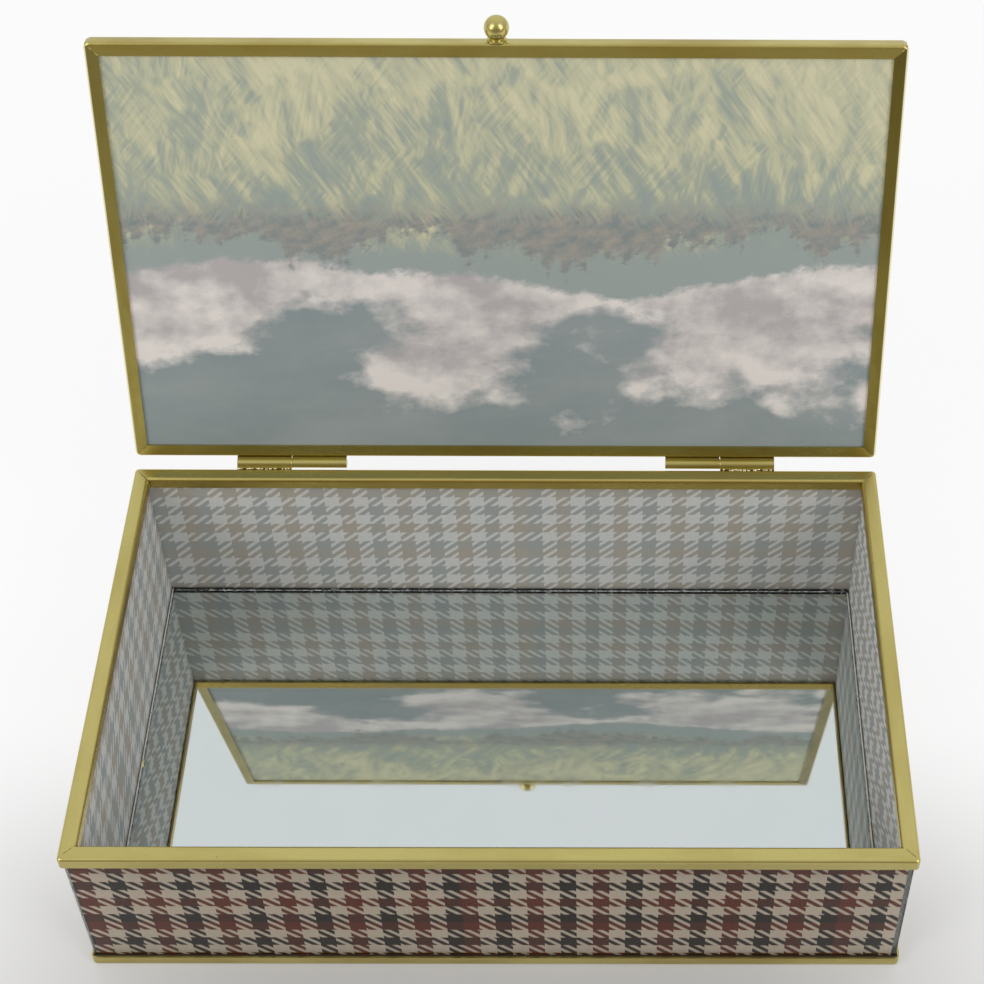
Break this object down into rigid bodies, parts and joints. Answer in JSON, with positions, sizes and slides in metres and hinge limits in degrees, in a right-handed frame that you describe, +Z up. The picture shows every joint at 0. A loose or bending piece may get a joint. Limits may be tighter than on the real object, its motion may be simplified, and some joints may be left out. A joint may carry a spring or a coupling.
{
  "type": "decorative box",
  "caption": "Rectangular glass keepsake box with brass edges, printed walls, a mirror floor and a hinged framed lid with a ball knob.",
  "frame": {"origin": "centre of the underside, on the table", "axes": "+X to the right along the front, +Y to the back where the hinges are, +Z up"},
  "size_m": [0.24, 0.1926, 0.2067],
  "materials": {
    "brass": "satin, lightly brushed along its length",
    "polished_brass": "polished",
    "pin_wire": "drawn wire, darkened ends",
    "sealant": "matt",
    "felt": "short nap",
    "mirror": "silvered on the back",
    "wall_glass": "clear",
    "lid_glass": "clear",
    "check_print": "printed houndstooth outside, pale back inside",
    "picture_print": "printed landscape outside, pale back inside",
    "corner_glue": "clear adhesive, dark in the joint"
  },
  "bodies": {
    "box": {"base_angle_front": "brass", "base_angle_back": "brass", "base_angle_left": "brass", "base_angle_right": "brass", "base_sealant": "sealant", "base_felt": "felt", "mirror_floor": "mirror", "pane_front": "wall_glass", "pane_back": "wall_glass", "pane_left": "wall_glass", "pane_right": "wall_glass", "print_front": "check_print", "print_back": "check_print", "print_left": "check_print", "print_right": "check_print", "corner_glue": "corner_glue", "rim_front": "brass", "rim_back": "brass", "rim_left": "brass", "rim_right": "brass", "hinge_left_body_knuckle": "brass", "hinge_right_body_knuckle": "brass", "hinge_left_pin": "pin_wire", "hinge_right_pin": "pin_wire"},
    "lid": {"lid_frame_front": "brass", "lid_frame_back": "brass", "lid_frame_left": "brass", "lid_frame_right": "brass", "lid_glass": "lid_glass", "lid_picture": "picture_print", "lid_knob": "polished_brass", "hinge_left_lid_knuckle": "brass", "hinge_right_lid_knuckle": "brass"}
  },
  "joints": [
    {"name": "lid_hinge", "type": "hinge", "parent": "box", "child": "lid", "pos_m": [0, 0.0737, 0.0602], "axis": [-1, 0, 0], "range_deg": [-106, 0]}
  ]
}
